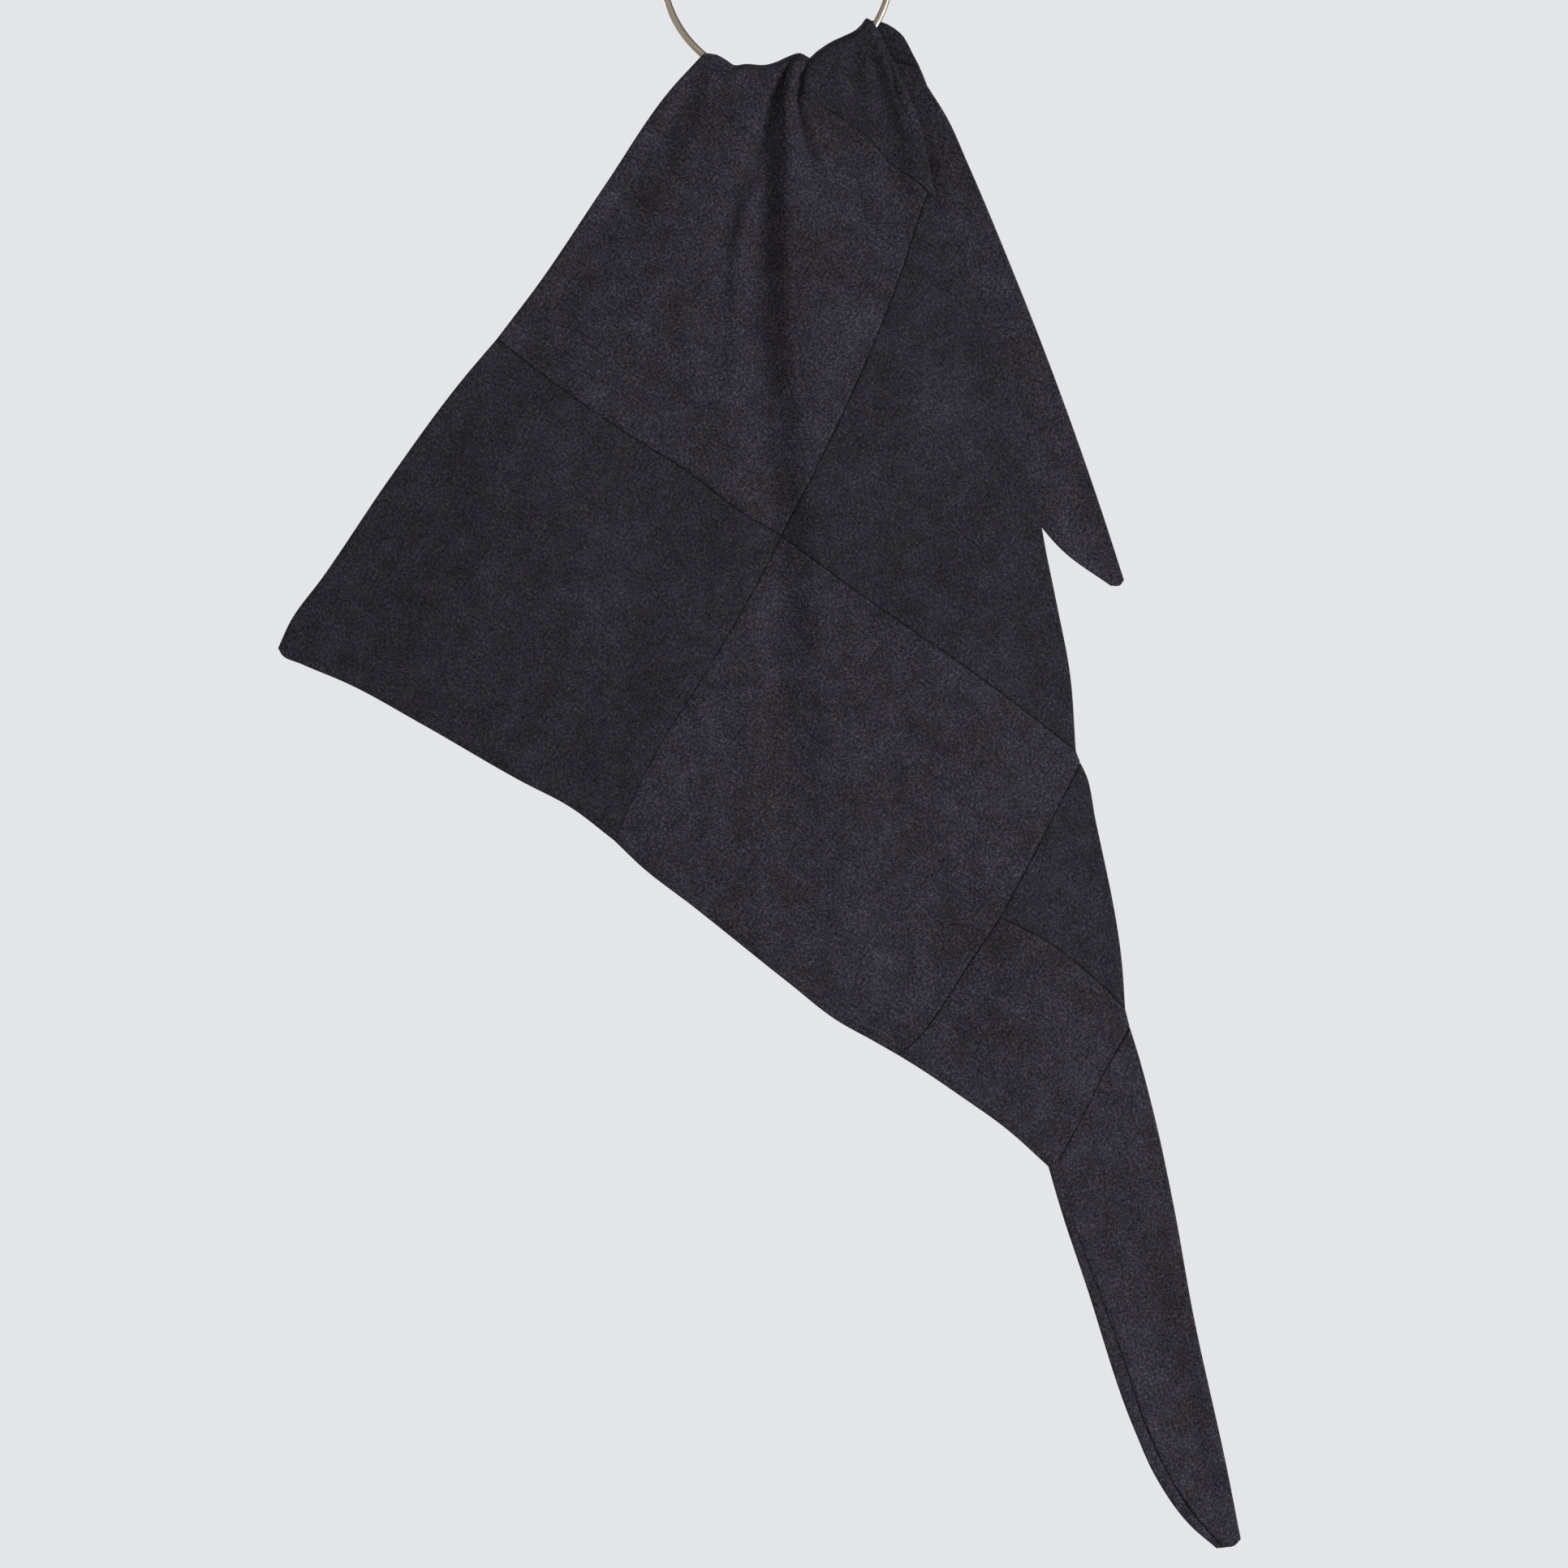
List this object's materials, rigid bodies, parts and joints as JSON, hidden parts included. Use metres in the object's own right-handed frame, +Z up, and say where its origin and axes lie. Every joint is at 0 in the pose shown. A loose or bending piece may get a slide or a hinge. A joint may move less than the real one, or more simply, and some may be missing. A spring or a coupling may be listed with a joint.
{
  "type": "patchwork bandana on a hanging ring",
  "caption": "Large triangular patchwork bandana in plum and charcoal wool with long tapered ties, pulled over a round metal ring that hangs from a peg.",
  "frame": {"origin": "the ring's inner top, where a peg holds it", "axes": "+Z up, -Y towards the viewer of the bandana's front, +X to the viewer's right"},
  "size_m": [0.8323, 0.0395, 1.4684],
  "materials": {
    "plum_twill": "brushed wool twill with a short nap",
    "charcoal_felt": "matt wool felt",
    "ring_metal": "polished, pale warm metal"
  },
  "bodies": {
    "root": {"hanging_ring": "ring_metal", "patch_upper": "plum_twill", "patch_corner": "charcoal_felt", "patch_lower": "plum_twill", "patch_middle": "charcoal_felt", "gusset_lower": "charcoal_felt", "strip_lower": "plum_twill", "tail_front": "plum_twill", "tail_front_turned_edge": "plum_twill", "gusset_upper_front": "charcoal_felt", "gusset_upper_back": "charcoal_felt", "strip_upper_front": "plum_twill", "strip_upper_back": "plum_twill", "tail_back": "plum_twill"}
  },
  "joints": []
}
